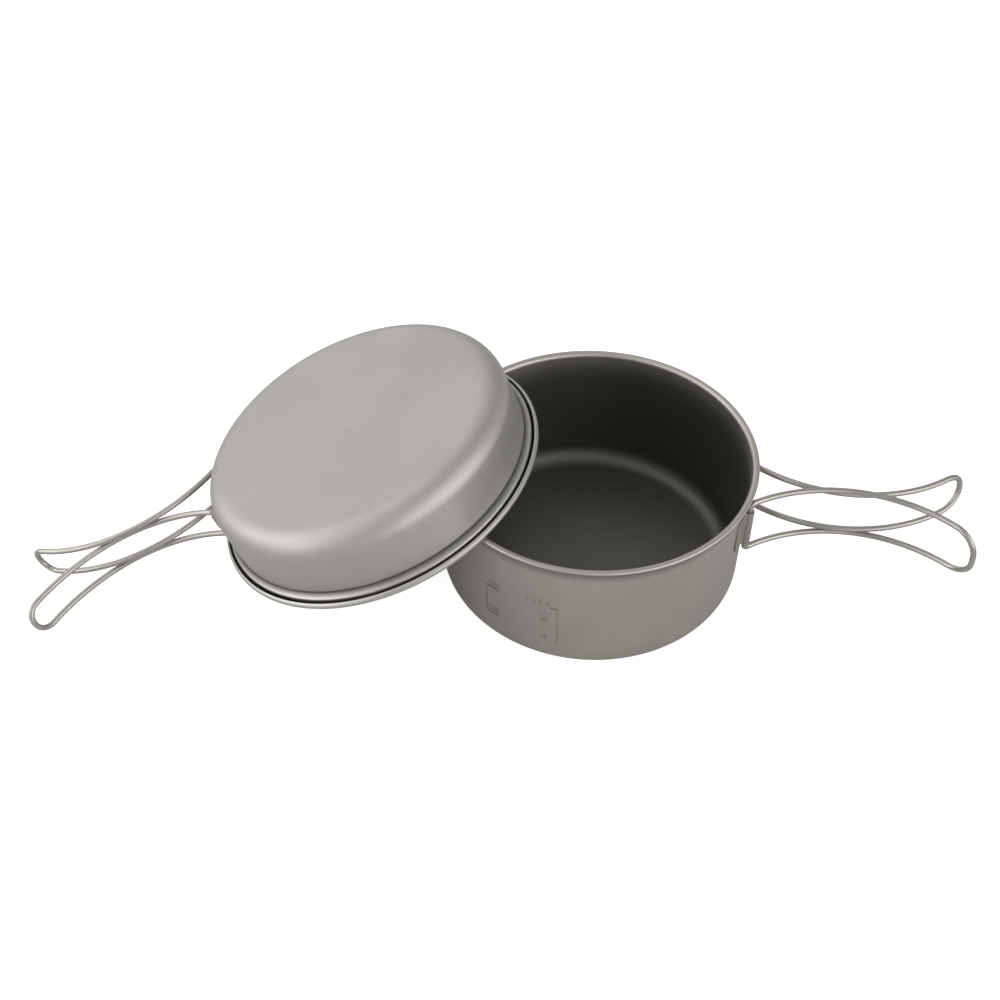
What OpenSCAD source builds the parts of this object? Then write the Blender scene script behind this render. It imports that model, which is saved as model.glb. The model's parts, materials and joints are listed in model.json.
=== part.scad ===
// Two-piece camping cook set: a cooking pot, and a frying pan that doubles as its lid.
// Both are thin drawn sheet with a pair of folding wire loops for a handle.
// The pot stands on its base. The pan lies upside down, leaning on the pot's rim
// and on the tip of its own handle.
// Origin: centre of the pot's base. +Z up, +X along the middle of the pot's handle.

/* [Sheet and wire] */
// Thickness of the drawn sheet
sheet_t = 0.5; // [0.4:0.1:0.7]
// Diameter of the handle wire
wire_d = 2.8; // [2.4:0.1:3.4]
// Thickness of the hinge brackets
bracket_t = 0.6; // [0.5:0.1:0.8]
// Inside radius of the wire's bend at a hinge
wire_bend = 0.6; // [0.4:0.1:1]

/* [Fits] */
// Radial clearance of the wire in the hinge barrels
hinge_clearance = 0.06; // [0.02:0.01:0.1]
// Play of a loop along its hinge barrel, at each end
hinge_play = 0.1; // [0.05:0.05:0.5]
// Gap between the wires of two loops where they pass each other
loop_gap = 0.5; // [0.3:0.1:1]
// How far the pan's skirt stands clear of the pot's rim when the pan is the lid
lid_clearance = 0.7; // [0.3:0.1:1.5]
// Gap between a bracket and the wall that it is spot welded to
weld_gap = 0.03; // [0.02:0.01:0.1]

/* [Pot] */
// Outer radius of the pot's rim
pot_rim_r = 76; // [63:1:92]
// Height of the pot
pot_h = 68.9; // [61:0.1:83]
// How far the rim stands out from the wall
pot_rim_w = 2.9; // [2.6:0.1:4]
// How much narrower the wall is at the base than under the rim
pot_taper = 0.75; // [0:0.05:3]
// Radius between the base and the wall
pot_base_fillet = 9.6; // [6:0.1:14]

/* [Pan] */
// Height of the pan
pan_h = 36.7; // [32:0.1:50]
// How far the skirt stands out from the wall
shoulder_w = 2.6; // [2.4:0.1:4]
// How much narrower the wall is at the base than at the shoulder
pan_taper = 0; // [0:0.1:3]
// Radius between the base and the wall
pan_base_fillet = 11; // [7:0.1:14]
// Outer radius of the rolled lip's section
lip_roll_r = 1.65; // [1.4:0.05:2]
// Height of the top of the skirt above the lip's lowest edge
skirt_h = 4.4; // [4:0.05:6]

/* [Pot handle] */
// Height of the middle of the handle above the base
pot_handle_z = 47.4; // [40:0.1:50]
// Angle round the wall between the middle of the handle and each hinge
pot_hinge_angle = 11.2; // [10:0.1:16]
// Height of the front loop, the outer one, at its hinge
pot_loop_h = 28.7; // [26:0.1:30]
// How much lower the front loop is at its tip
pot_loop_narrowing = 2; // [0:0.1:4]
// How much the rear loop, the inner one, narrows besides
pot_inner_narrowing = 3.6; // [0:0.1:4]
// Length of the front loop along the wire, from hinge to tip
pot_front_l = 109.9; // [90:0.1:132]
// Length of the rear loop along the wire, from hinge to tip
pot_rear_l = 107.7; // [90:0.1:130]
// Angle towards the middle at which the front loop leaves its hinge
pot_front_heading = 39.6; // [33:0.1:41]
// Angle towards the middle at which the rear loop leaves its hinge
pot_rear_heading = 32.7; // [30:0.1:36]
// Bend radius of the loops' corners
pot_corner = 11.5; // [7:0.1:12]
// Sideways offset of a loop's corners at its tip, against each other
pot_twist = 1.6; // [0:0.1:2]

/* [Pan handle] */
// Distance from the pan's lip to the middle of the handle
pan_handle_z = 16.2; // [15:0.1:20]
// Angle round the wall between the middle of the handle and each hinge
pan_hinge_angle = 10.3; // [10:0.1:16]
// Height of both loops
pan_loop_h = 14.7; // [14:0.1:16]
// Length of the front loop along the wire, from hinge to tip
pan_front_l = 107.2; // [90:0.1:128]
// Length of the rear loop along the wire, from hinge to tip
pan_rear_l = 108.4; // [90:0.1:130]
// Angle towards the middle at which the front loop leaves its hinge
pan_front_heading = 22.4; // [16:0.1:30]
// Angle towards the middle at which the rear loop leaves its hinge
pan_rear_heading = 50; // [40:0.1:52]
// Bend radius of the loops' corners
pan_corner = 7.1; // [4:0.1:7.2]

/* [Lean of the pan] */
// Compass direction in which the pan leans
pan_lean_dir = 188.5; // [186:0.1:191]
// Angle of the pan's handle from the direction of the lean
pan_handle_dir = 4.9; // [0:0.1:10]
// Half the distance between the two points where the pan's lip lies on the pot's rim
rest_half_span = 57; // [45:0.5:62]

/* [Hidden] */
$fn = 96;

wire_r = wire_d / 2;
bore_r = wire_r + hinge_clearance;
barrel_r = bore_r + bracket_t;
hinge_bend_r = wire_r + wire_bend;

// Band inside a base's fillet where the sheet is still exactly flat
flat_margin = 1;

// Pot wall and rim
pot_flare_r = 1.9;
pot_hem_r = 0.55;
pot_wall_r = pot_rim_r - pot_rim_w;
pot_foot_r = pot_wall_r - pot_taper;

// Pan, in its own frame: the lip's lowest edge at Z = 0, the base on top, its axis on Z,
// and +X towards the side that leans down
shoulder_rise = 1.5;
shoulder_bend_r = 0.6;
lip_open_angle = 80;
skirt_r = pot_rim_r + lid_clearance + sheet_t;
lip_centre_r = skirt_r - sheet_t + lip_roll_r;
pan_wall_r = skirt_r - shoulder_w;
pan_foot_r = pan_wall_r - pan_taper;

// Half heights of the loops, at hinge and tip. The pot's inner loop passes inside the outer
// one, and the pan's two loops lie one above the other.
pot_outer_h = [pot_loop_h, pot_loop_h - pot_loop_narrowing] / 2;
pot_inner_h = pot_outer_h - (wire_d + loop_gap) * [1, 1] + pot_inner_narrowing / 4 * [1, -1];
pan_half_h = pan_loop_h / 2 * [1, 1];
pan_lift = (wire_d + loop_gap) / 2;

// Hinge brackets: as high as the loops leave room for, with a welding tab past each barrel
tab_reach = 8;
pot_bracket_h = 2 * (pot_inner_h[0] - hinge_bend_r - hinge_play);
pan_bracket_h = 2 * (pan_half_h[0] - pan_lift - hinge_bend_r - hinge_play);

// Wire loops. Each leg is an arc that hugs the wall once the loop is folded.
leg_steps = 14;
bend_steps = 4;
corner_steps = 6;
wire_sides = 10;
tip_flat = 0.5;
pin_overlap = 0.6;
pin_step = 0.05;
pin_inset = 0.8;
rooted = 0.9;

// Points of a circular arc from angle a to angle b
function arc(centre, r, a, b, steps) =
    [for (i = [0 : steps]) centre + r * [cos(a + (b - a) * i / steps), sin(a + (b - a) * i / steps)]];

// Unit normal of a polyline at its point i
function normal_at(p, i) =
    let (d = p[min(i + 1, len(p) - 1)] - p[max(i - 1, 0)]) [-d[1], d[0]] / norm(d);

// Outline of a strip of sheet of thickness t, whose middle follows a polyline
function strip(p, t) = concat(
    [for (i = [0 : len(p) - 1]) p[i] + normal_at(p, i) * t / 2],
    [for (i = [len(p) - 1 : -1 : 0]) p[i] - normal_at(p, i) * t / 2]);

// Radius of a vessel's outer wall at a height between its foot and its top
function wall_at(z, foot_r, top_r, foot_z, top_z) = foot_r + (top_r - foot_r) * (z - foot_z) / (top_z - foot_z);
function pot_wall_at(z) = wall_at(z, pot_foot_r, pot_wall_r, 0, pot_h);
function pan_wall_at(z) = wall_at(z, pan_foot_r, pan_wall_r, pan_h, skirt_h + shoulder_rise);

// Middle of the pot's sheet, from its axis to the end of the rim's hem
function pot_profile() = let (
    m = sheet_t / 2,
    foot = pot_foot_r - m,
    wall = pot_wall_r - m,
    fillet = pot_base_fillet - m,
    flare = pot_flare_r,
    hem_x = pot_rim_r - m - pot_hem_r) concat(
        [[0, m], [foot - fillet - flat_margin, m]],
        arc([foot - fillet, m + fillet], fillet, -90, 0, 8),
        arc([wall + flare, pot_h - m - flare], flare, 180, 90, 6),
        arc([hem_x, pot_h - m - pot_hem_r], pot_hem_r, 90, -60, 7));

// Middle of the pan's sheet, from its axis to the free edge of the rolled lip
function pan_profile() = let (
    m = sheet_t / 2,
    foot = pan_foot_r - m,
    wall = pan_wall_r - m,
    fillet = pan_base_fillet - m,
    roll = lip_roll_r - m,
    skirt = skirt_r - m,
    bend = shoulder_bend_r) concat(
        [[0, pan_h - m], [foot - fillet - flat_margin, pan_h - m]],
        arc([foot - fillet, pan_h - m - fillet], fillet, 90, 0, 8),
        arc([wall + bend, skirt_h + shoulder_rise + bend - m], bend, 180, 240, 3),
        arc([skirt - bend, skirt_h - bend - m], bend, 60, 0, 3),
        arc([lip_centre_r, lip_roll_r], roll, 180, 360 + lip_open_angle, 14));

module sheet_vessel(profile) {
    rotate_extrude() polygon(strip(profile, sheet_t));
}

// Distance of the hinge barrels' axes from a vessel's axis
function hinge_r(wall_r) = wall_r + weld_gap + barrel_r;

// Outline in plan of a hinge bracket: a strap on the wall with a barrel at each end and a
// welding tab beyond each barrel
module bracket_plan(wall_r, hinge_angle) {
    inner = wall_r + weld_gap;
    reach = 2 * inner;
    tab_angle = hinge_angle + tab_reach;
    difference() {
        union() {
            intersection() {
                difference() {
                    circle(r = inner + bracket_t);
                    circle(r = inner);
                }
                polygon([[0, 0], reach * [cos(tab_angle), -sin(tab_angle)],
                         reach * [cos(tab_angle), sin(tab_angle)]]);
            }
            for (side = [-1, 1])
                rotate(side * hinge_angle) translate([hinge_r(wall_r), 0]) circle(r = barrel_r);
        }
        for (side = [-1, 1])
            rotate(side * hinge_angle) translate([hinge_r(wall_r), 0]) circle(r = bore_r);
        circle(r = inner);
    }
}

module bracket(wall_r, hinge_angle, height) {
    linear_extrude(height, center = true) bracket_plan(wall_r, hinge_angle);
}

// One wire loop in a handle's own frame: vessel axis on Z, handle along +X, Z = 0 at the middle
// of the handle. side is the side of the hinge, hinge its angle, and heading the angle towards
// the middle at which the legs leave it.
function leg_centre(side, ring_r, hinge, heading) =
    ring_r * [cos(hinge) + sin(heading), side * (sin(hinge) + cos(heading))];
function leg_turn(side, ring_r, heading, s) = side * (180 * s / ring_r / PI - heading);
function leg(side, ring_r, hinge, heading, s) = let (a = leg_turn(side, ring_r, heading, s))
    leg_centre(side, ring_r, hinge, heading) + side * ring_r * [sin(a), -cos(a)];
function leg_normal(side, ring_r, heading, s) = let (a = leg_turn(side, ring_r, heading, s))
    [-sin(a), cos(a)];

// Half height of a loop at distance s along its leg, from h[0] at the hinge to h[1] at the tip
function half_height(h, l, s) = h[0] + (h[1] - h[0]) * s / l;

// Upper half of a loop, unrolled: distance along the leg and height
function half_loop(l, h, corner) = let (
    bend = hinge_bend_r,
    s_end = l - corner,
    h_end = half_height(h, l, s_end),
    drop = min(corner, h_end - tip_flat)) concat(
        [[0, h[0] - bend - pin_overlap]],
        arc([bend, h[0] - bend], bend, 180, 90, bend_steps),
        [for (i = [1 : leg_steps - 1]) let (s = bend + (s_end - bend) * i / leg_steps)
            [s, half_height(h, l, s)]],
        [for (i = [0 : corner_steps]) let (a = 90 * i / corner_steps)
            [s_end + corner * sin(a), h_end - drop * (1 - cos(a))]]);

function mirrored(p) = [for (i = [len(p) - 1 : -1 : 0]) [p[i][0], -p[i][1]]];

// Ring of points round a path's point i. out is the direction away from the wall.
function wire_ring(path, i, out) = let (
    n = len(path),
    d = path[min(i + 1, n - 1)] - path[max(i - 1, 0)],
    t = d / norm(d),
    flat = out - t * (t * out),
    u = flat / norm(flat),
    v = cross(t, u),
    r = i == 0 || i == n - 1 ? wire_r * rooted : wire_r)
        [for (k = [0 : wire_sides - 1])
            path[i] + r * (u * cos(360 * k / wire_sides) + v * sin(360 * k / wire_sides))];

module wire_loop(side, ring_r, hinge, heading, l, h, corner, twist = 0, lift = 0) {
    upper = half_loop(l, h, corner);
    flat = concat(upper, mirrored(upper));
    path = [for (q = flat)
        let (xy = leg(side, ring_r, hinge, heading, q[0])
                + leg_normal(side, ring_r, heading, q[0]) * twist * q[0] / l * q[1] / h[0])
            [xy[0], xy[1], q[1] + lift]];
    tube([for (i = [0 : len(path) - 1])
        let (out = leg_normal(side, ring_r, heading, flat[i][0])) wire_ring(path, i, [out[0], out[1], 0])]);
    pin_top = h[0] - hinge_bend_r - pin_step;
    for (end = [-1, 1])
        translate([path[0][0], path[0][1], lift + end * (pin_inset + pin_top) / 2])
            cylinder(r = wire_r, h = pin_top - pin_inset, center = true);
}

// Closed tube through a list of rings with the same number of points
module tube(rings) {
    m = len(rings[0]);
    n = len(rings);
    polyhedron(
        [for (ring = rings) each ring],
        concat(
            [[for (k = [0 : m - 1]) k]],
            [[for (k = [m - 1 : -1 : 0]) (n - 1) * m + k]],
            [for (i = [0 : n - 2]) for (k = [0 : m - 1])
                [i * m + k, (i + 1) * m + k, (i + 1) * m + (k + 1) % m, i * m + (k + 1) % m]]));
}

pot_bracket_r = pot_wall_at(pot_handle_z + pot_bracket_h / 2);
pan_bracket_r = pan_wall_at(pan_handle_z - pan_bracket_h / 2);
pot_ring_r = hinge_r(pot_bracket_r);
pan_ring_r = hinge_r(pan_bracket_r);

// Where the pan leans. Its lip crosses the pot's rim at two points, and the lower corner at the
// tip of one of its loops stands on the ground: that gives the tilt.
lean_gap = 0.2;
floor_gap = 0;
rim_reach = sqrt(pot_rim_r ^ 2 - rest_half_span ^ 2);
lip_reach = sqrt(lip_centre_r ^ 2 - rest_half_span ^ 2);

// Centre of a loop's lower corner in the pan's frame: distance towards the low side, and height
function corner_place(side, heading, l, lift) = let (
    s = l - pan_corner,
    p = leg(side, pan_ring_r, pan_hinge_angle, heading, s))
    [p[0] * cos(pan_handle_dir) - p[1] * sin(pan_handle_dir),
     pan_handle_z + lift + pan_corner - half_height(pan_half_h, l, s)];

// Tilt at which that corner stands on the ground
function tilt_for(corner) = let (
    run = lip_reach + corner[0],
    rise = corner[1] + lean_gap,
    fall = pot_h - pan_corner - wire_r - floor_gap)
    asin(fall / norm([run, rise])) + atan2(rise, run);

pan_tilt = min(tilt_for(corner_place(1, pan_front_heading, pan_front_l, -pan_lift)),
               tilt_for(corner_place(-1, pan_rear_heading, pan_rear_l, pan_lift)));
lean_level = [cos(pan_lean_dir), sin(pan_lean_dir), 0];
lean_down = cos(pan_tilt) * lean_level - [0, 0, sin(pan_tilt)];
lean_up = sin(pan_tilt) * lean_level + [0, 0, cos(pan_tilt)];
pan_place = rim_reach * lean_level + [0, 0, pot_h] + lip_reach * lean_down + lean_gap * lean_up;

// Moves a piece from the pan's own frame to where the pan leans
module lean() {
    translate(pan_place) rotate([0, pan_tilt, pan_lean_dir]) children();
}

// Moves a piece from the frame of the pan's handle to where the pan leans
module lean_handle() {
    lean() rotate(pan_handle_dir) translate([0, 0, pan_handle_z]) children();
}

module pot_body() {
    color("darkgray") sheet_vessel(pot_profile());
}

module pot_bracket() {
    color("gray") translate([0, 0, pot_handle_z])
        bracket(pot_bracket_r, pot_hinge_angle, pot_bracket_h);
}

module pot_handle_front() {
    color("silver") translate([0, 0, pot_handle_z])
        wire_loop(-1, pot_ring_r, pot_hinge_angle, pot_front_heading, pot_front_l, pot_outer_h,
                  pot_corner, twist = -pot_twist);
}

module pot_handle_rear() {
    color("silver") translate([0, 0, pot_handle_z])
        wire_loop(1, pot_ring_r, pot_hinge_angle, pot_rear_heading, pot_rear_l, pot_inner_h,
                  pot_corner, twist = pot_twist);
}

module pan_body() {
    color("lightgray") lean() sheet_vessel(pan_profile());
}

module pan_bracket() {
    color("gray") lean_handle() bracket(pan_bracket_r, pan_hinge_angle, pan_bracket_h);
}

module pan_handle_front() {
    color("silver") lean_handle()
        wire_loop(1, pan_ring_r, pan_hinge_angle, pan_front_heading, pan_front_l, pan_half_h,
                  pan_corner, lift = -pan_lift);
}

module pan_handle_rear() {
    color("silver") lean_handle()
        wire_loop(-1, pan_ring_r, pan_hinge_angle, pan_rear_heading, pan_rear_l, pan_half_h,
                  pan_corner, lift = pan_lift);
}

pot_body();
pot_bracket();
pot_handle_front();
pot_handle_rear();
pan_body();
pan_bracket();
pan_handle_front();
pan_handle_rear();
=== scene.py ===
"""Looks of a two-piece camping cook set: a thin titanium pot and a frying pan that doubles as its lid.

Both vessels are turned shells of blasted sheet. Each carries a spot-welded hinge strap that holds two
folding wire loops. Sizes are in millimetres, and every point is turned to metres where it is placed.
"""

import json
import logging
import math
from dataclasses import dataclass, field
from enum import Enum

import bpy
from mathutils import Matrix, Vector


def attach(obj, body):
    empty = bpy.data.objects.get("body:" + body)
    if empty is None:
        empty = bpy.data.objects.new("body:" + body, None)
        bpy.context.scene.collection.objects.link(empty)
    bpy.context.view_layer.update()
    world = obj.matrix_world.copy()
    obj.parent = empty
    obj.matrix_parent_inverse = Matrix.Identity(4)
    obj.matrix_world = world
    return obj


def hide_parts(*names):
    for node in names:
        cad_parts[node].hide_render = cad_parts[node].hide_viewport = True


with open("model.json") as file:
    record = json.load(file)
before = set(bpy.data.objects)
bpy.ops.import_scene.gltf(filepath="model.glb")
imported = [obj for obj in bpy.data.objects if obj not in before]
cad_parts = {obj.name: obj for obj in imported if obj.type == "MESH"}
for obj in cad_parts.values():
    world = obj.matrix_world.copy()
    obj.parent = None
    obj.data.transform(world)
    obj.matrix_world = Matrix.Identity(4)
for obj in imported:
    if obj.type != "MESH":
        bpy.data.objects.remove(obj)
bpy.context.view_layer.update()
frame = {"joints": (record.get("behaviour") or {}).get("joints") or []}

LOG = logging.getLogger("cook_set")
MM = 0.001

# Depths below a vessel's mouth at which the painted shade inside it starts and is darkest
DUSK = (1.5, 14.0)

# Attributes of a shell that mask painted shade and painted highlights: how deep inside the vessel or in
# a crease, and how near a bright rim or bend, a vertex lies
HOLLOW_SHADE = "hollow_shade"
EDGE_HIGHLIGHT = "edge"

Point2 = tuple[float, float]
Point3 = tuple[float, float, float]
Colour = tuple[float, float, float, float]


class Side(Enum):
    """Which of a handle's two hinges a piece belongs to, seen along the handle from its vessel."""

    LEFT = 1
    RIGHT = -1


# ---------------------------------------------------------------- shader maths


class Socket:
    """A shader output that can be used in Python arithmetic."""

    def __init__(self, graph: "Graph", link: bpy.types.NodeSocket) -> None:
        """Wraps one output socket of a graph's node."""
        self.graph = graph
        self.link = link

    def _maths(self, operation: str, *values: object) -> "Socket":
        """Adds a Math node and returns its result."""
        return self.graph.node("ShaderNodeMath", {"operation": operation}, *values)

    def __add__(self, other: object) -> "Socket":
        """Sum of this value and another."""
        return self._maths("ADD", self, other)

    def __sub__(self, other: object) -> "Socket":
        """This value less another."""
        return self._maths("SUBTRACT", self, other)

    def __rsub__(self, other: object) -> "Socket":
        """Another value less this one."""
        return self._maths("SUBTRACT", other, self)

    def __mul__(self, other: object) -> "Socket":
        """Product of this value and another."""
        return self._maths("MULTIPLY", self, other)

    __radd__ = __add__
    __rmul__ = __mul__

    def clamped(self) -> "Socket":
        """This value held between 0 and 1."""
        return self.graph.node("ShaderNodeClamp", {}, self)

    def above(self, low: float, high: float) -> "Socket":
        """Smooth step from 0 at low to 1 at high.

        Args:
            low: Value at which the step starts.
            high: Value at which the step is over.

        Returns:
            The step as a value from 0 to 1.
        """
        settings = {"interpolation_type": "SMOOTHSTEP"}
        return self.graph.node("ShaderNodeMapRange", settings, self, low, high, 0.0, 1.0)


class Graph:
    """The node tree of one material or world."""

    def __init__(self, owner: bpy.types.Material | bpy.types.World) -> None:
        """Empties the owner's node tree and starts it again.

        Args:
            owner: Material or world that the tree belongs to.
        """
        owner.use_nodes = True
        self.tree = owner.node_tree
        self.tree.nodes.clear()

    def node(self, kind: str, settings: dict, *inputs: object, out: int | str = 0,
             **named: object) -> Socket | None:
        """Adds a node, sets it up and wires its inputs.

        Args:
            kind: The node's type.
            settings: Values of the node's own properties, set before its sockets.
            inputs: Values or links of its sockets, in order; None leaves one as it is.
            out: Which output to return.
            named: Values or links of sockets by name, with _ for a space.

        Returns:
            The chosen output, or None for an end node that has none.
        """
        made = self.tree.nodes.new(kind)
        for key, value in settings.items():
            setattr(made, key, value)
        by_name = [(key.replace("_", " "), value) for key, value in named.items()]
        for key, value in list(enumerate(inputs)) + by_name:
            if value is None:
                continue
            socket = made.inputs[key]
            if isinstance(value, Socket):
                self.tree.links.new(value.link, socket)
            else:
                socket.default_value = value
        return Socket(self, made.outputs[out]) if made.outputs else None

    def vector(self, operation: str, a: object, b: object, out: int = 0) -> Socket:
        """Result of one Vector Math node."""
        return self.node("ShaderNodeVectorMath", {"operation": operation}, a, b, out=out)

    def noise(self, place: Socket, size: float, detail: float = 2.0, roughness: float = 0.5) -> Socket:
        """Noise value whose grain is about size metres across."""
        return self.node("ShaderNodeTexNoise", {}, place, None, 1.0 / size, detail, roughness)

    def blend(self, factor: Socket, a: object, b: object) -> Socket:
        """Colour that goes from a to b as factor goes from 0 to 1."""
        settings = {"data_type": "RGBA", "clamp_factor": True}
        return self.node("ShaderNodeMix", settings, factor, None, None, None, None, None, a, b, out=2)

    def bump(self, height: Socket, depth: float, strength: float,
             under: Socket | None = None) -> Socket:
        """Normal of a surface whose relief is height times depth metres, on top of another normal."""
        return self.node("ShaderNodeBump", {}, Strength=strength, Distance=depth, Height=height,
                         Normal=under)


def tone(red: float, green: float, blue: float) -> Colour:
    """Colour of a finish, as linear light from display values of 0 to 255."""
    return tuple((value / 255.0) ** 2.2 for value in (red, green, blue)) + (1.0,)


# Light tone of hair scratches, and of the painted highlight along the vessels' rims and bends
SCRATCH_AND_HIGHLIGHT = tone(226, 224, 220)


# ---------------------------------------------------------------- finishes


@dataclass(frozen=True)
class BlastedTitanium:
    """Satin titanium: blasted sheet with soft clouds of tone, fine grain and a few hair scratches."""

    name: str
    colour: Colour
    shade: Colour
    roughness: float = 0.5
    metallic: float = 0.92
    cloud: float = 0.035
    cloud_share: float = 0.7
    grain: float = 0.00035
    grain_depth: float = 0.000012
    wave: float = 0.02
    wave_depth: float = 0.00012
    scratch_turns: Point2 = (0.35, 1.9)
    scratch_size: Point3 = (0.05, 0.0009, 0.05)
    scratch_step: Point2 = (0.74, 0.8)
    scratch_tone: float = 0.1

    def scratches(self, graph: Graph, place: Socket) -> Socket:
        """Adds thin, sparse rubbing marks that run in two directions.

        Args:
            graph: Node tree of the material.
            place: Object coordinates.

        Returns:
            1 on a scratch and 0 off it.
        """
        marks = []
        for turn in self.scratch_turns:
            lined = graph.node("ShaderNodeMapping", {"vector_type": "TEXTURE"}, place, (0, 0, 0),
                               (0.2, 0.1, turn), self.scratch_size)
            streak = graph.node("ShaderNodeTexNoise", {}, lined, None, 1.0, 1.0, 0.4)
            marks.append(streak.above(*self.scratch_step))
        return (marks[0] + marks[1]).clamped()

    def tone_over(self, graph: Graph, place: Socket) -> Socket:
        """Adds the metal's own colour, clouded and scratched.

        Args:
            graph: Node tree of the material.
            place: Object coordinates.

        Returns:
            The colour, before any shading of a hollow or edge.
        """
        clouds = graph.noise(place, self.cloud, 3.0, 0.55).above(0.3, 0.72)
        fine = graph.noise(place, self.grain * 2.5, 1.0)
        share = clouds * self.cloud_share + fine * (1.0 - self.cloud_share)
        mottled = graph.blend(share, self.shade, self.colour)
        return graph.blend(self.scratches(graph, place) * self.scratch_tone, mottled, SCRATCH_AND_HIGHLIGHT)

    def build(self) -> bpy.types.Material:
        """Makes the material.

        Returns:
            The finished material.
        """
        material = bpy.data.materials.new(self.name)
        graph = Graph(material)
        self.dress(graph, graph.node("ShaderNodeTexCoord", {}, out="Object"))
        return material

    def dress(self, graph: Graph, place: Socket) -> None:
        """Fills the node tree with the metal in its own colour."""
        self.surface(graph, place, self.tone_over(graph, place))

    def surface(self, graph: Graph, place: Socket, colour: Socket, polish: object = 0.0) -> None:
        """Adds the metal itself, with its grain, under a colour.

        Args:
            graph: Node tree of the material.
            place: Object coordinates.
            colour: Base colour.
            polish: How much smoother the surface is, 0 to 1 over the surface.
        """
        soft = graph.noise(place, self.cloud * 0.6, 2.0)
        uneven = (soft - 0.5) * 0.16 + self.roughness
        rough = uneven - self.scratches(graph, place) * 0.04 - polish * 0.12
        grain = graph.noise(place, self.grain, 2.0, 0.6)
        waves = graph.noise(place, self.wave, 1.0)
        dented = graph.bump(waves, self.wave_depth, 0.35)
        normal = graph.bump(grain, self.grain_depth, 0.6, dented)
        shader = graph.node("ShaderNodeBsdfPrincipled", {}, Base_Color=colour,
                            Roughness=rough.clamped(), Metallic=self.metallic, Normal=normal)
        graph.node("ShaderNodeOutputMaterial", {}, shader)


@dataclass(frozen=True)
class VesselSheet(BlastedTitanium):
    """Blasted sheet of a vessel: painted shade that deepens down inside it and lies in creases, and a
    painted highlight along its rims and bends, which are also smoother.
    """

    # Colour of the painted shade deep inside the vessel and in its creases
    hollow_shade: Colour = field(kw_only=True)
    # Share of the light tone in the painted highlight along rims and bends
    highlight_tone: float = 0.25

    def dress(self, graph: Graph, place: Socket) -> None:
        """Fills the node tree, which reads the shell's own attributes for painted shade and painted
        highlights.

        Args:
            graph: Node tree of the material.
            place: Object coordinates.
        """
        # Painted shade deep inside and in creases, and a painted highlight along rims and bends, where
        # the sheet is also made smoother
        deep = graph.node("ShaderNodeAttribute", {"attribute_name": HOLLOW_SHADE}, out="Fac")
        edge_highlight = graph.node("ShaderNodeAttribute", {"attribute_name": EDGE_HIGHLIGHT}, out="Fac")
        colour = graph.blend(edge_highlight * self.highlight_tone, self.tone_over(graph, place), SCRATCH_AND_HIGHLIGHT)
        self.surface(graph, place, graph.blend(deep, colour, self.hollow_shade), edge_highlight)


@dataclass(frozen=True)
class DrawnWire(BlastedTitanium):
    """Drawn titanium wire: smoother than sheet, with draw lines."""

    roughness: float = 0.3
    cloud: float = 0.02
    grain: float = 0.0002
    grain_depth: float = 0.000006


# ---------------------------------------------------------------- modelling steps


@dataclass(frozen=True)
class Axis:
    """Where a vessel stands: the middle of its base or mouth, and its axes in the object's frame."""

    origin: Vector
    along: Vector
    up: Vector

    def matrix(self) -> Matrix:
        """Works out the placement of a piece that was modelled upright, with its handle along +X.

        Returns:
            The placement in the object's frame.
        """
        across = self.up.cross(self.along)
        turned = Matrix((self.along, across, self.up)).transposed()
        return Matrix.Translation(self.origin) @ turned.to_4x4()


def start_clean() -> None:
    """Leaves edit mode and deselects everything."""
    if bpy.context.object and bpy.context.object.mode != "OBJECT":
        bpy.ops.object.mode_set(mode="OBJECT")
    bpy.ops.object.select_all(action="DESELECT")


def select_only(piece: bpy.types.Object) -> None:
    """Makes one object the active and only selected one.

    Args:
        piece: The object.
    """
    start_clean()
    piece.select_set(True)
    bpy.context.view_layer.objects.active = piece


def modify(piece: bpy.types.Object, kind: str, **settings: object) -> None:
    """Adds a modifier to a piece and applies it.

    Args:
        piece: Object that the modifier shapes.
        kind: Type of the modifier.
        settings: Values of its properties.
    """
    select_only(piece)
    modifier = piece.modifiers.new(kind.title(), kind)
    for key, value in settings.items():
        setattr(modifier, key, value)
    bpy.ops.object.modifier_apply(modifier=modifier.name)


def settle(piece: bpy.types.Object, placement: Matrix) -> None:
    """Moves a piece to its place and puts that place into its mesh.

    Args:
        piece: Object modelled upright at the origin.
        placement: Where it goes in the object's frame.
    """
    select_only(piece)
    piece.matrix_world = placement @ piece.matrix_world
    bpy.ops.object.transform_apply(location=True, rotation=True, scale=True)


def smooth(piece: bpy.types.Object, degrees: float = 35.0) -> None:
    """Shades a piece smooth except across edges sharper than an angle."""
    select_only(piece)
    bpy.ops.object.shade_smooth_by_angle(angle=math.radians(degrees))


def seal(gap: float) -> None:
    """Merges doubled points of the active mesh and turns its faces outwards.

    Args:
        gap: Distance within which points are doubles.
    """
    bpy.ops.object.mode_set(mode="EDIT")
    bpy.ops.mesh.select_all(action="SELECT")
    bpy.ops.mesh.remove_doubles(threshold=gap * MM)
    bpy.ops.mesh.normals_make_consistent(inside=False)
    bpy.ops.object.mode_set(mode="OBJECT")


def single_point(name: str, place: Point3) -> bpy.types.Object:
    """Starts a piece as one point, open in edit mode.

    Args:
        name: Name of the piece.
        place: Where the point lies.

    Returns:
        The piece, with its point selected.
    """
    start_clean()
    bpy.ops.mesh.primitive_plane_add(size=0.1 * MM, location=tuple(part * MM for part in place))
    piece = bpy.context.object
    piece.name = name
    bpy.ops.object.mode_set(mode="EDIT")
    bpy.ops.mesh.select_all(action="SELECT")
    bpy.ops.mesh.merge(type="CENTER")
    return piece


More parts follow.
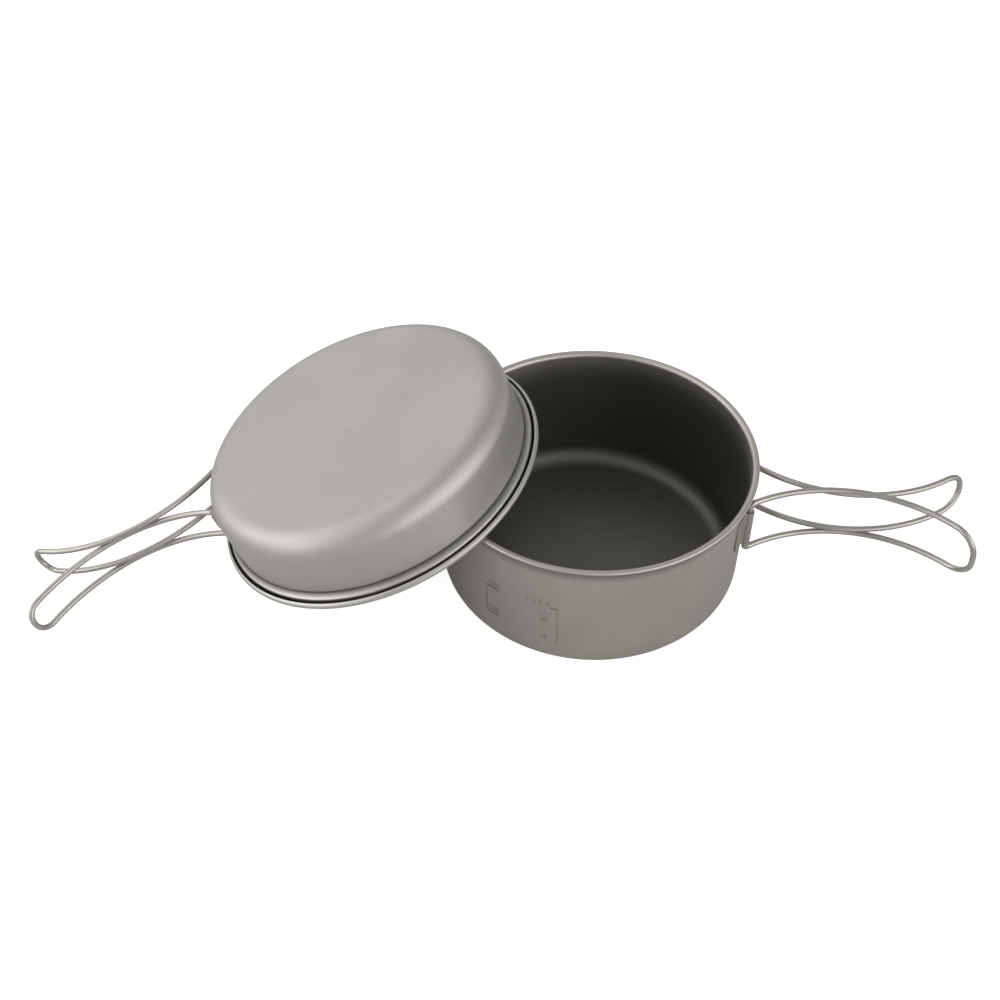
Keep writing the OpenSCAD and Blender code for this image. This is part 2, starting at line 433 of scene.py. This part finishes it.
def soften(piece: bpy.types.Object, width: float, segments: int, degrees: float) -> None:
    """Rounds every edge of a piece that is sharper than an angle.

    Args:
        piece: The piece.
        width: Width of the rounding.
        segments: Number of steps across it.
        degrees: The angle.
    """
    modify(piece, "BEVEL", width=width * MM, segments=segments, limit_method="ANGLE",
           angle_limit=math.radians(degrees))


def arc(centre: Point2, radius: float, start: float, end: float, steps: int) -> list[Point2]:
    """Points of an arc.

    Args:
        centre: Its centre.
        radius: Its radius.
        start: Angle of its first point, in degrees.
        end: Angle of its last point, in degrees.
        steps: Number of steps between its points.

    Returns:
        The points, steps + 1 of them.
    """
    angles = [math.radians(start + (end - start) * i / steps) for i in range(steps + 1)]
    return [(centre[0] + radius * math.cos(a), centre[1] + radius * math.sin(a)) for a in angles]


def turned_shell(name: str, profile: list[Point2], sheet: float,
                 segments: int = 192) -> bpy.types.Object:
    """Models a turned sheet shell ring by ring.

    Args:
        name: Name of the piece.
        profile: Radius and height of each ring along the middle of the sheet, from the base out.
        sheet: Thickness of the sheet.
        segments: Number of sides of each ring.

    Returns:
        The closed shell, upright at the origin.
    """
    start_clean()
    (radius, height), rest = profile[0], profile[1:]
    bpy.ops.mesh.primitive_circle_add(vertices=segments, radius=radius * MM,
                                      location=(0, 0, height * MM), fill_type="NOTHING")
    piece = bpy.context.object
    piece.name = name
    bpy.ops.object.mode_set(mode="EDIT")
    bpy.ops.mesh.select_all(action="SELECT")
    for next_radius, next_height in rest:
        rise = (0, 0, (next_height - height) * MM)
        bpy.ops.mesh.extrude_region_move(TRANSFORM_OT_translate={"value": rise})
        grow = next_radius / radius
        bpy.ops.transform.resize(value=(grow, grow, 1), center_override=(0, 0, 0))
        radius, height = next_radius, next_height
    bpy.ops.mesh.select_all(action="DESELECT")
    bpy.ops.object.mode_set(mode="OBJECT")
    for vertex in piece.data.vertices:
        vertex.select = vertex.co.xy.length < (profile[0][0] + 0.01) * MM
    bpy.ops.object.mode_set(mode="EDIT")
    bpy.ops.mesh.edge_face_add()
    bpy.ops.object.mode_set(mode="OBJECT")
    bpy.ops.object.transform_apply(location=True)
    modify(piece, "SOLIDIFY", thickness=sheet * MM, offset=0.0, use_even_offset=True)
    soften(piece, 0.14, 2, 50)
    smooth(piece)
    return piece


def fade(value: float, low: float, high: float) -> float:
    """Smooth step from 0 at low to 1 at high."""
    share = min(max((value - low) / (high - low), 0.0), 1.0)
    return share * share * (3 - 2 * share)


def profile_side(profile: list[Point2], radius: float, height: float) -> float:
    """Tells which side of a sheet's middle a point lies on.

    Args:
        profile: Points of the sheet's middle, in order.
        radius: Distance of the point from the vessel's axis.
        height: Height of the point.

    Returns:
        1 on the left of the profile's nearest stretch, and -1 on its right.
    """
    def away(i: int) -> Point2:
        """Measures the point from one stretch of the profile.

        Args:
            i: Number of the stretch.

        Returns:
            Distance from the stretch, and the side of it.
        """
        (ax, ay), (bx, by) = profile[i], profile[i + 1]
        dx, dy = bx - ax, by - ay
        share = min(max(((radius - ax) * dx + (height - ay) * dy) / (dx * dx + dy * dy), 0.0), 1.0)
        distance = math.hypot(radius - ax - share * dx, height - ay - share * dy)
        return distance, math.copysign(1.0, dx * (height - ay) - dy * (radius - ax))

    return min(away(i) for i in range(len(profile) - 1))[1]


def near(spots: list[Point3], radius: float, height: float) -> float:
    """Tells how close a point of a profile is to the nearest of some spots.

    Args:
        spots: Radius, height and reach of each spot; its effect fades out over half a reach more.
        radius: Distance of the point from the vessel's axis.
        height: Height of the point.

    Returns:
        1 within a spot's reach, down to 0 away from all of them.
    """
    return max((1.0 - fade(math.dist((radius, height), spot[:2]), spot[2], spot[2] * 1.5)
                for spot in spots), default=0.0)


def paint_shell(piece: bpy.types.Object, profile: list[Point2], inner_side: float, mouth: float,
                creases: list[Point3], edges: list[Point3]) -> None:
    """Writes the masks of painted shade and painted highlights: how deep inside the vessel or in a
    crease, and how near a rim or bend, each vertex of a shell lies.

    Args:
        piece: The shell, upright at the origin.
        profile: Points of the sheet's middle, in order.
        inner_side: Side of the profile that faces the inside of the vessel, 1 or -1.
        mouth: Height of the vessel's mouth.
        creases: Spots of the outside that are narrow and get painted shade.
        edges: Spots that get a painted highlight.
    """
    hollow_shade = piece.data.attributes.new(HOLLOW_SHADE, "FLOAT", "POINT")
    edge = piece.data.attributes.new(EDGE_HIGHLIGHT, "FLOAT", "POINT")
    known: dict[Point2, Point2] = {}
    for i, vertex in enumerate(piece.data.vertices):
        radius, height = vertex.co.xy.length / MM, vertex.co.z / MM
        key = (round(radius, 2), round(height, 2))
        if key not in known:
            inner = profile_side(profile, radius, height) == inner_side
            # Painted shade: darker with depth below the mouth inside the vessel, and near creases
            # outside
            deep = fade(abs(height - mouth), *DUSK) if inner else near(creases, radius, height)
            # Painted highlight near rims and bends
            known[key] = (deep, near(edges, radius, height))
        hollow_shade.data[i].value, edge.data[i].value = known[key]


def wire_along(name: str, path: list[Point3], radius: float) -> bpy.types.Object:
    """Models a round wire along a path.

    Args:
        name: Name of the piece.
        path: Points of the wire's middle.
        radius: Radius of the wire.

    Returns:
        The wire with closed, rounded ends.
    """
    single_point(name, path[0])
    here = Vector(path[0])
    for point in path[1:]:
        there = Vector(point)
        bpy.ops.mesh.extrude_vertices_move(TRANSFORM_OT_translate={"value": (there - here) * MM})
        here = there
    bpy.ops.object.mode_set(mode="OBJECT")
    bpy.ops.object.transform_apply(location=True)
    bpy.ops.object.convert(target="CURVE")
    piece = bpy.context.object
    piece.data.bevel_depth = radius * MM
    piece.data.bevel_resolution = 8
    piece.data.use_fill_caps = True
    bpy.ops.object.convert(target="MESH")
    piece = bpy.context.object
    seal(0.002)
    soften(piece, 0.3, 3, 60)
    smooth(piece, 50.0)
    return piece


def pressed_strap(name: str, plan: list[Point2], halves: list[float], middle: float,
                  sheet: float) -> bpy.types.Object:
    """Models a strap of sheet by drawing an upright edge along its plan.

    Args:
        name: Name of the piece.
        plan: Points of the strap's middle, seen from above.
        halves: Half height of the strap at each point.
        middle: Height of its middle.
        sheet: Thickness of the strap.

    Returns:
        The closed strap with softened edges.
    """
    x, y = plan[0]
    piece = single_point(name, (x, y, middle - halves[0]))
    bpy.ops.mesh.extrude_vertices_move(TRANSFORM_OT_translate={"value": (0, 0, 2 * halves[0] * MM)})
    bpy.ops.mesh.select_all(action="SELECT")
    half = halves[0]
    for (next_x, next_y), next_half in zip(plan[1:], halves[1:]):
        step = ((next_x - x) * MM, (next_y - y) * MM, 0)
        bpy.ops.mesh.extrude_region_move(TRANSFORM_OT_translate={"value": step})
        bpy.ops.transform.resize(value=(1, 1, next_half / half),
                                 center_override=(0, 0, middle * MM))
        x, y, half = next_x, next_y, next_half
    bpy.ops.object.mode_set(mode="OBJECT")
    bpy.ops.object.transform_apply(location=True)
    modify(piece, "SOLIDIFY", thickness=sheet * MM, offset=0.0, use_even_offset=True)
    soften(piece, 0.16, 3, 50)
    smooth(piece)
    return piece


def hand_over(piece: bpy.types.Object, body: str, node: str | None,
              material: bpy.types.Material) -> None:
    """Gives a finished piece its material and its body, and hides the CAD node that it stands for.

    Args:
        piece: The piece, in its place.
        body: CAD body that it rides on.
        node: CAD node that it stands for, if any.
        material: Its finish.
    """
    piece.data.materials.clear()
    piece.data.materials.append(material)
    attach(piece, body)
    if node:
        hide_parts(node)
    LOG.info("%s rides on %s with %d faces", piece.name, body, len(piece.data.polygons))


# ---------------------------------------------------------------- handles


@dataclass
class Loop:
    """One wire loop: the side of its hinge, how it leaves it, and its size.

    Its heading is in degrees. A twist leans its legs apart, and a lift raises the whole of it.
    """

    node: str
    side: Side
    heading: float
    length: float
    half_at_hinge: float
    half_at_tip: float
    corner: float
    twist: float = 0.0
    lift: float = 0.0


@dataclass
class Handle:
    """A hinge strap and its two wire loops, modelled round a vessel that stands at the origin."""

    name: str
    axis: Axis
    middle: float
    hinge_angle: float
    ring_r: float
    loops: list[Loop]
    body: str
    wire_r: float = 1.4
    bend: float = 2.0
    strap: float = 0.6
    clearance: float = 0.06
    tab_reach: float = 8.0
    strap_half: float = 9.85
    tab_corner: float = 3.2
    neck_r: float = 0.5
    leg_steps: int = 44
    corner_steps: int = 16

    def leg(self, loop: Loop, along: float, height: float) -> Point3:
        """Point of a loop's leg.

        Args:
            loop: The loop.
            along: Distance along the leg from its hinge.
            height: Height above the middle of the handle.

        Returns:
            The point in the vessel's upright frame.
        """
        side, ring = loop.side.value, self.ring_r
        hinge, heading = math.radians(self.hinge_angle), math.radians(loop.heading)
        turn = side * (along / ring - heading)
        aside = loop.twist * along / loop.length * height / loop.half_at_hinge
        x = (ring * (math.cos(hinge) + math.sin(heading)) + side * ring * math.sin(turn)
             - aside * math.sin(turn))
        y = (side * ring * (math.sin(hinge) + math.cos(heading) - math.cos(turn))
             + aside * math.cos(turn))
        return x, y, self.middle + loop.lift + height

    def loop_path(self, loop: Loop) -> list[Point3]:
        """Lays out a loop's wire: pin, bend, leg, rounded tip, and back down the other half.

        Args:
            loop: The loop.

        Returns:
            Points of the wire's middle, from one pin's end to the other's.
        """
        end = loop.length - loop.corner
        slope = (loop.half_at_tip - loop.half_at_hinge) / loop.length
        reach = loop.half_at_hinge + slope * end
        drop = min(loop.corner, reach - 0.5)
        pins = [(0.0, height) for height in (0.8, 1.6, loop.half_at_hinge - self.bend - 0.8)]
        bend = arc((self.bend, loop.half_at_hinge - self.bend), self.bend, 180, 90, 10)
        steps = [self.bend + (end - self.bend) * i / self.leg_steps for i in range(1, self.leg_steps)]
        legs = [(along, loop.half_at_hinge + slope * along) for along in steps]
        angles = [math.radians(90 * i / self.corner_steps) for i in range(self.corner_steps + 1)]
        corner = [(end + loop.corner * math.sin(a), reach - drop * (1 - math.cos(a))) for a in angles]
        upper = pins + bend + legs + corner
        lower = [(along, -height) for along, height in reversed(upper)]
        return [self.leg(loop, along, height) for along, height in upper + lower]

    def tab_end(self, inset: float) -> float:
        """Half height of a tab at a distance in from its end, inside its rounded corner."""
        left = self.tab_corner - inset
        return self.strap_half - self.tab_corner + math.sqrt(max(self.tab_corner ** 2 - left ** 2, 0.0))

    def strap_plan(self) -> tuple[list[Point2], list[float]]:
        """Plan of the strap, from one tab's end over both barrels to the other tab's end.

        Returns:
            Points of the strap's middle, and the strap's half height at each.
        """
        wall = self.ring_r - self.wire_r - self.clearance - self.strap / 2
        wrap = self.wire_r + self.clearance + self.strap / 2
        neck = math.acos((wrap - 0.02) / (wrap + self.neck_r))
        half_span = math.degrees((wrap + self.neck_r) * math.sin(neck) / self.ring_r) + 0.9
        reach = self.hinge_angle + self.tab_reach
        tab = self.tab_corner
        rounded = [tab * (1 - math.cos(math.radians(a))) for a in range(0, 91, 10)]
        plan, halves = [], []
        for inset in rounded:
            plan.append(self.polar(wall, -reach + math.degrees(inset / wall)))
            halves.append(self.tab_end(inset))
        for side in (-1, 1):
            centre = self.polar(self.ring_r, side * self.hinge_angle)
            facing = side * self.hinge_angle
            bulge = arc(centre, wrap, facing - 115, facing + 115, 20)
            start, end = facing - half_span, facing + half_span
            last = math.degrees(math.atan2(plan[-1][1], plan[-1][0]))
            run = [self.polar(wall, last + (start - last) * i / 6) for i in range(1, 7)]
            plan += run + bulge
            halves += [self.strap_half] * (len(run) + len(bulge))
            plan.append(self.polar(wall, end))
            halves.append(self.strap_half)
        last = self.hinge_angle + half_span
        stop = reach - math.degrees(tab / wall)
        plan += [self.polar(wall, last + (stop - last) * i / 5) for i in range(1, 6)]
        halves += [self.strap_half] * 5
        for inset in rounded[-2::-1]:
            plan.append(self.polar(wall, reach - math.degrees(inset / wall)))
            halves.append(self.tab_end(inset))
        return plan, halves

    @staticmethod
    def polar(radius: float, degrees: float) -> Point2:
        """Point at a radius and an angle."""
        return radius * math.cos(math.radians(degrees)), radius * math.sin(math.radians(degrees))

    def build(self, wire: bpy.types.Material, strap: bpy.types.Material) -> None:
        """Models and dresses the strap and both loops.

        Args:
            wire: Finish of the loops.
            strap: Finish of the strap.
        """
        for loop in self.loops:
            piece = wire_along(loop.node + "_wire", self.loop_path(loop), self.wire_r)
            settle(piece, self.axis.matrix())
            body = loop.node.replace("_handle_", "_loop_")
            hand_over(piece, body, loop.node, wire)
        plan, halves = self.strap_plan()
        piece = pressed_strap(self.name + "_strap", plan, halves, self.middle, self.strap)
        settle(piece, self.axis.matrix())
        hand_over(piece, self.body, self.name + "_bracket", strap)


# ---------------------------------------------------------------- vessels


@dataclass
class Pot:
    """The pot: a drawn shell with a rolled-over rim and volume marks on its wall."""

    axis: Axis
    rim_r: float = 76.0
    height: float = 68.9
    rim_w: float = 2.9
    taper: float = 0.75
    fillet: float = 9.6
    sheet: float = 0.5
    flare: float = 1.9
    hem: float = 0.55
    relief: float = 0.3
    stroke: float = 0.5
    big_digit: float = 4.4
    small_digit: float = 4.2

    def wall_at(self, height: float) -> float:
        """Outer radius of the wall at a height."""
        return self.rim_r - self.rim_w - self.taper * (1 - height / self.height)

    def profile(self) -> list[Point2]:
        """Lays out the middle of the sheet: base, bend, wall, flare and hem.

        Returns:
            Its points, from near the axis to the end of the hem.
        """
        m = self.sheet / 2
        foot, wall = self.wall_at(0) - m, self.wall_at(self.height) - m
        fillet, hem_x = self.fillet - m, self.rim_r - m - self.hem
        base = [(radius, m) for radius in (6.0, 20.0, 38.0, 54.0, 60.0)]
        top = self.height - m
        rises = [(foot + (wall - foot) * i / 8, self.fillet + (top - self.flare - self.fillet) * i / 8)
                 for i in range(1, 8)]
        rises += [(wall, top - self.flare - 0.9), (wall, top - self.flare - 0.3)]
        return (base + arc((foot - fillet, m + fillet), fillet, -90, 0, 16) + rises
                + arc((wall + self.flare, top - self.flare), self.flare, 180, 90, 10)
                + arc((hem_x, top - self.hem), self.hem, 90, -60, 12))

    def wrap(self, piece: bpy.types.Object, azimuth: float, height: float) -> None:
        """Bends a flat mark round the wall.

        Args:
            piece: The mark, flat in the XY plane with its middle at the origin.
            azimuth: Angle of its middle round the wall, in degrees.
            height: Height of its middle.
        """
        for vertex in piece.data.vertices:
            across, rise, proud = vertex.co / MM
            radius = self.wall_at(height + rise) + proud
            turn = math.radians(azimuth) + across / self.wall_at(height)
            vertex.co = Vector((radius * math.cos(turn), radius * math.sin(turn), height + rise)) * MM

    def number(self, name: str, text: str, azimuth: float, height: float, size: float,
               finish: bpy.types.Material) -> None:
        """Adds a raised number to the wall.

        Args:
            name: Name of the piece.
            text: The number.
            azimuth: Angle of its middle round the wall, in degrees.
            height: Height of its middle.
            size: Height of its font.
            finish: Its finish.
        """
        start_clean()
        bpy.ops.object.text_add()
        piece = bpy.context.object
        piece.name = name
        piece.data.body = text
        piece.data.align_x, piece.data.align_y = "CENTER", "CENTER"
        piece.data.size = size * MM
        piece.data.extrude = self.relief * MM
        piece.data.resolution_u = 4
        bpy.ops.object.convert(target="MESH")
        seal(0.005)
        self.wrap(piece, azimuth, height)
        hand_over(piece, "pot", None, finish)

    def line(self, name: str, azimuth: float, height: float, width: float, rise: float,
             finish: bpy.types.Material) -> None:
        """Adds a raised line to the wall.

        Args:
            name: Name of the piece.
            azimuth: Angle of its middle round the wall, in degrees.
            height: Height of its middle.
            width: Its width round the wall.
            rise: Its height.
            finish: Its finish.
        """
        start_clean()
        bpy.ops.mesh.primitive_cube_add(size=1.0)
        piece = bpy.context.object
        piece.name = name
        piece.scale = (width * MM, rise * MM, 2 * self.relief * MM)
        bpy.ops.object.transform_apply(scale=True)
        bpy.ops.object.mode_set(mode="EDIT")
        bpy.ops.mesh.select_all(action="SELECT")
        bpy.ops.mesh.subdivide(number_cuts=7)
        bpy.ops.object.mode_set(mode="OBJECT")
        self.wrap(piece, azimuth, height)
        hand_over(piece, "pot", None, finish)

    def marks(self, finish: bpy.types.Material) -> None:
        """Adds the two stamped volume scales.

        Args:
            finish: Their finish.
        """
        self.line("mark_left_upright", -123.7, 28.5, self.stroke, 18.4, finish)
        self.line("mark_left_high", -120.3, 37.2, 6.6, self.stroke, finish)
        self.line("mark_left_low", -120.3, 19.5, 6.6, self.stroke, finish)
        self.number("mark_left_600", "600", -119.9, 40.3, self.big_digit, finish)
        self.number("mark_left_300", "300", -119.9, 22.6, self.big_digit, finish)
        self.line("mark_right_upright", -94.8, 27.8, self.stroke, 22.6, finish)
        self.line("mark_right_high", -96.2, 39.1, 3.6, self.stroke, finish)
        self.number("mark_right_1234", "1 2 3 4", -102.2, 41.2, self.small_digit, finish)
        self.number("mark_right_20", "20", -99.9, 31.0, self.small_digit, finish)
        self.number("mark_right_10", "10", -99.9, 18.0, self.small_digit, finish)

    def build(self, finish: bpy.types.Material, marking: bpy.types.Material) -> None:
        """Models and dresses the shell, and the marks in their own finish.

        Args:
            finish: Finish of the shell.
            marking: Finish of the marks.
        """
        shell = turned_shell("pot_shell", self.profile(), self.sheet)
        wall = self.wall_at(self.height)
        # Painted shade on the wall just under the rolled hem, and painted highlights on the rim's inner
        # bend and on the hem's outer edge
        creases = [(wall + self.hem, self.height - self.flare - self.sheet, 1.1)]
        edges = [(wall + 0.2, self.height - 0.5, 0.6), (self.rim_r, self.height - self.hem, 0.5)]
        paint_shell(shell, self.profile(), 1.0, self.height, creases, edges)
        hand_over(shell, "pot", "pot_body", finish)
        self.marks(marking)


@dataclass
class Pan:
    """The pan: a drawn shell whose stepped skirt fits over the pot, with an open rolled lip."""

    axis: Axis
    skirt_r: float = 77.2
    height: float = 36.7
    shoulder_w: float = 2.6
    fillet: float = 11.0
    sheet: float = 0.5
    roll: float = 1.65
    skirt_h: float = 4.4
    shoulder_rise: float = 1.5
    bend: float = 0.6

    def profile(self) -> list[Point2]:
        """Lays out the middle of the sheet: base, bend, wall, shoulder, skirt and lip.

        Returns:
            Its points, from near the axis to the free edge of the lip.
        """
        m = self.sheet / 2
        wall, skirt = self.skirt_r - self.shoulder_w - m, self.skirt_r - m
        fillet, top = self.fillet - m, self.height - m
        base = [(radius, top) for radius in (6.0, 20.0, 38.0, 54.0, 61.0)]
        foot = self.skirt_h + self.shoulder_rise + self.bend
        walls = [(wall, top - fillet + (foot - top + fillet) * i / 4) for i in range(1, 4)]
        walls += [(wall, foot + 0.9), (wall, foot + 0.35)]
        lip = (self.skirt_r - self.sheet + self.roll, self.roll)
        return (base + arc((wall - fillet, top - fillet), fillet, 90, 0, 18) + walls
                + arc((wall + self.bend, foot - m), self.bend, 180, 240, 5)
                + arc((skirt - self.bend, self.skirt_h - self.bend - m), self.bend, 60, 0, 5)
                + [(skirt, 3.2), (skirt, 2.7)]
                + arc(lip, self.roll - m, 180, 440, 30))

    def build(self, finish: bpy.types.Material) -> None:
        """Models and dresses the shell.

        Args:
            finish: Its finish.
        """
        shell = turned_shell("pan_shell", self.profile(), self.sheet)
        lip_r = self.skirt_r - self.sheet + self.roll
        foot = self.skirt_h + self.shoulder_rise + self.bend
        # Painted shade in the trench between skirt and rolled lip and in the concave bend between wall
        # and shoulder; painted highlights on the shoulder's convex edge and the lip's upper outer side
        creases = [(lip_r, self.roll, 1.35),
                   (self.skirt_r - self.shoulder_w + 0.35, foot - self.sheet / 2, 0.38)]
        edges = [(self.skirt_r, self.skirt_h, 0.7), (lip_r + 0.6, 2 * self.roll, 0.9)]
        paint_shell(shell, self.profile(), -1.0, 0.0, creases, edges)
        settle(shell, self.axis.matrix())
        hand_over(shell, "pan", "pan_body", finish)


def hinge(name: str) -> dict:
    """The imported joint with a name."""
    return next(joint for joint in frame["joints"] if joint["name"] == name)


def vessel_axis(left: str, right: str, hinge_angle: float, middle: float) -> Axis:
    """Finds how a vessel stands from the joints of its two loops.

    Args:
        left: Joint of the loop on the left of the handle, seen from the vessel.
        right: Joint of the other loop.
        hinge_angle: Angle between the handle's middle and each hinge.
        middle: Height of the hinges above the vessel's origin.

    Returns:
        The vessel's own axes.
    """
    a, b = Vector(hinge(left)["pos_m"]), Vector(hinge(right)["pos_m"])
    up = Vector(hinge(left)["axis"]).normalized()
    across = (a - b).normalized()
    along = across.cross(up)
    ring = (a - b).length / 2 / math.tan(math.radians(hinge_angle))
    return Axis((a + b) / 2 - along * ring - up * middle * MM, along, up)


# ---------------------------------------------------------------- stage


class Studio:
    """Camera, pale floor and soft lamps."""

    AZIMUTH = 10.3
    ELEVATION = 44.78
    ROLL = -0.377
    PLACE = (38.67, -459.27, 493.49)
    LENS = 48.495
    AMBIENT = 0.37
    GLOWS = ((-0.60, 0.55, 0.55, 0.45, 0.5), (-0.9, -0.4, -0.05, 0.55, 1.3),
             (0.9, -0.4, 0.0, 0.45, 1.3))
    PAPER = 0.72
    PAPER_GLOW = 0.85
    LAMPS = (("key", (-0.9, -0.4, 1.0), 3.6), ("fill", (0.9, -0.9, 0.8), 2.6))
    LAMP_SIZE = 1.8
    LAMP_AIM = (-0.04, 0, 0.03)

    def camera(self) -> None:
        """Adds the camera and makes it the scene's."""
        data = bpy.data.cameras.new("camera")
        data.lens = self.LENS
        data.sensor_width = 36.0
        data.clip_start = 0.01
        camera = bpy.data.objects.new("camera", data)
        turn = (Matrix.Rotation(math.radians(self.AZIMUTH), 3, "Z")
                @ Matrix.Rotation(math.radians(90 - self.ELEVATION), 3, "X")
                @ Matrix.Rotation(math.radians(self.ROLL), 3, "Z"))
        camera.matrix_world = Matrix.Translation(Vector(self.PLACE) * MM) @ turn.to_4x4()
        bpy.context.scene.collection.objects.link(camera)
        bpy.context.scene.camera = camera

    def floor(self) -> None:
        """Adds the white floor, which keeps the set's soft shadow."""
        start_clean()
        bpy.ops.mesh.primitive_plane_add(size=8.0, location=(0, 0, -0.0002))
        floor = bpy.context.object
        floor.name = "floor"
        material = bpy.data.materials.new("floor_white")
        graph = Graph(material)
        path = graph.node("ShaderNodeLightPath", {}, out="Is Camera Ray")
        paper = graph.node("ShaderNodeBsdfDiffuse", {}, (self.PAPER, self.PAPER, self.PAPER, 1.0))
        glow = graph.node("ShaderNodeEmission", {}, (1, 1, 1, 1), path * self.PAPER_GLOW)
        both = graph.node("ShaderNodeAddShader", {}, paper, glow)
        graph.node("ShaderNodeOutputMaterial", {}, both)
        floor.data.materials.append(material)

    def world(self) -> None:
        """Sets a plain surround: white where it is looked at, and a soft gradient as light."""
        world = bpy.data.worlds.new("surround")
        bpy.context.scene.world = world
        graph = Graph(world)
        way = graph.node("ShaderNodeTexCoord", {}, out="Generated")
        light: Socket = self.glow(graph, way, self.GLOWS[0])
        for glow in self.GLOWS[1:]:
            light = light + self.glow(graph, way, glow)
        path = graph.node("ShaderNodeLightPath", {}, out="Is Camera Ray")
        strength = (light + self.AMBIENT) * (1.0 - path) + path
        sky = graph.node("ShaderNodeBackground", {}, (1, 1, 1, 1), strength)
        graph.node("ShaderNodeOutputWorld", {}, sky)

    @staticmethod
    def glow(graph: Graph, way: Socket, glow: tuple[float, float, float, float, float]) -> Socket:
        """Soft patch of light in the surround.

        Args:
            graph: Node tree of the world.
            way: Direction that is looked in.
            glow: Direction of the patch's middle, the cosine at its edge, and its strength.

        Returns:
            The strength in each direction.
        """
        middle = tuple(Vector(glow[:3]).normalized())
        return graph.vector("DOT_PRODUCT", way, middle, out=1).above(glow[3], 1.0) * glow[4]

    def lamp(self, name: str, place: Point3, watts: float) -> None:
        """Adds a soft square lamp that looks at the set.

        Args:
            name: Its name.
            place: Its place in metres.
            watts: Its power.
        """
        data = bpy.data.lights.new(name, "AREA")
        data.size = self.LAMP_SIZE
        data.energy = watts
        lamp = bpy.data.objects.new(name, data)
        lamp.location = place
        way = Vector(self.LAMP_AIM) - Vector(place)
        lamp.rotation_euler = way.to_track_quat("-Z", "Y").to_euler()
        bpy.context.scene.collection.objects.link(lamp)

    def build(self) -> None:
        """Sets the whole stage."""
        self.camera()
        self.floor()
        self.world()
        for name, place, watts in self.LAMPS:
            self.lamp(name, place, watts)
        bpy.context.scene.view_settings.view_transform = "Standard"


def main() -> None:
    """Builds the stage, the finishes, the pot, the pan and their handles, in that order."""
    logging.basicConfig(level=logging.INFO, format="%(name)s: %(message)s")
    Studio().build()
    upright = Axis(Vector((0, 0, 0)), Vector((1, 0, 0)), Vector((0, 0, 1)))
    pan_hinge_angle, pan_hinge_height = 10.3, 16.2
    leaning = vessel_axis("pan_front_fold", "pan_rear_fold", pan_hinge_angle, pan_hinge_height)
    # The last colour of each vessel sheet is its painted shade, deep inside the vessel and in its
    # creases
    pot_sheet = VesselSheet("pot_titanium", tone(187, 182, 175), tone(177, 172, 165),
                            hollow_shade=tone(114, 112, 107))
    pan_sheet = VesselSheet("pan_titanium", tone(194, 191, 187), tone(185, 182, 178),
                            hollow_shade=tone(90, 88, 84))
    wire = DrawnWire("titanium_wire", tone(194, 190, 185), tone(172, 168, 162))
    strap = BlastedTitanium("titanium_strap", tone(180, 175, 168), tone(165, 160, 153))
    marking = BlastedTitanium("pressed_marks", tone(176, 171, 164), tone(166, 161, 154),
                              roughness=0.45)
    Pot(upright).build(pot_sheet.build(), marking.build())
    Pan(leaning).build(pan_sheet.build())
    wires, straps = wire.build(), strap.build()
    pot_loops = [Loop("pot_handle_front", Side.RIGHT, 39.6, 109.9, 14.35, 13.35, 11.5, -1.6),
                 Loop("pot_handle_rear", Side.LEFT, 32.7, 107.7, 11.95, 9.15, 11.5, 1.6)]
    Handle("pot", upright, 47.4, 11.2, 75.0632, pot_loops, "pot").build(wires, straps)
    pan_loops = [Loop("pan_handle_front", Side.LEFT, 22.4, 107.2, 7.35, 7.35, 7.1, lift=-1.65),
                 Loop("pan_handle_rear", Side.RIGHT, 50.0, 108.4, 7.35, 7.35, 7.1, lift=1.65)]
    Handle("pan", leaning, pan_hinge_height, pan_hinge_angle, 76.69, pan_loops, "pan",
           strap_half=3.6, tab_corner=2.0).build(wires, straps)


if __name__ == "__main__":
    main()
